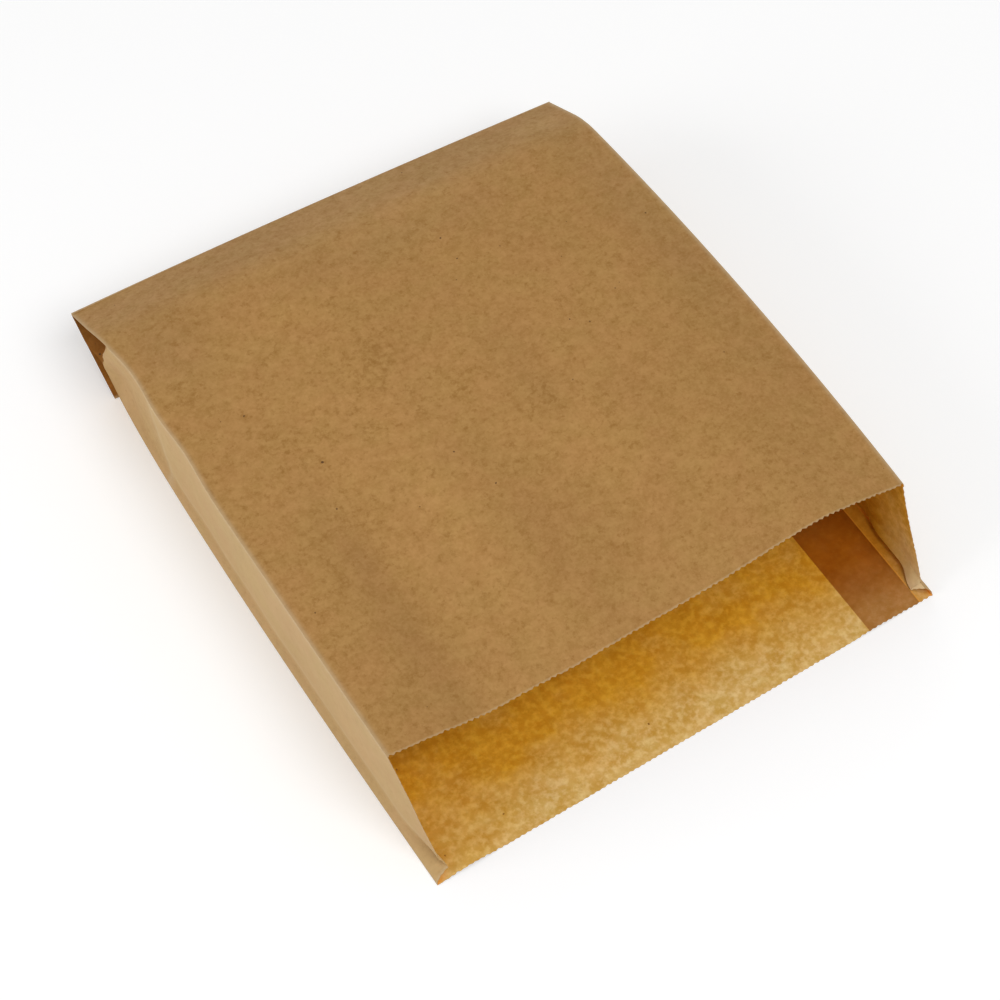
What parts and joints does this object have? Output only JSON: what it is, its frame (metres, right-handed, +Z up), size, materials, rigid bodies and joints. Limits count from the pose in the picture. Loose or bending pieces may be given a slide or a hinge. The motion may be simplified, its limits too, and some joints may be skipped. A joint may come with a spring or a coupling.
{
  "type": "brown paper lunch bag",
  "caption": "Gusseted kraft paper bag lying on its back panel, mouth half open, with a folded and glued end flap, a glued back seam and a toothed mouth edge.",
  "frame": {"origin": "centre of the bag's footprint, on the surface that it lies on", "axes": "+X across the bag to its right edge seen from the mouth, +Y from the mouth towards the closed end, +Z up from the back panel to the front panel"},
  "size_m": [0.1824, 0.226, 0.0371],
  "materials": {
    "kraft_paper": "unbleached kraft paper, matt, with fine fibre mottling"
  },
  "bodies": {
    "root": {"paper_bag": "kraft_paper"}
  },
  "joints": []
}
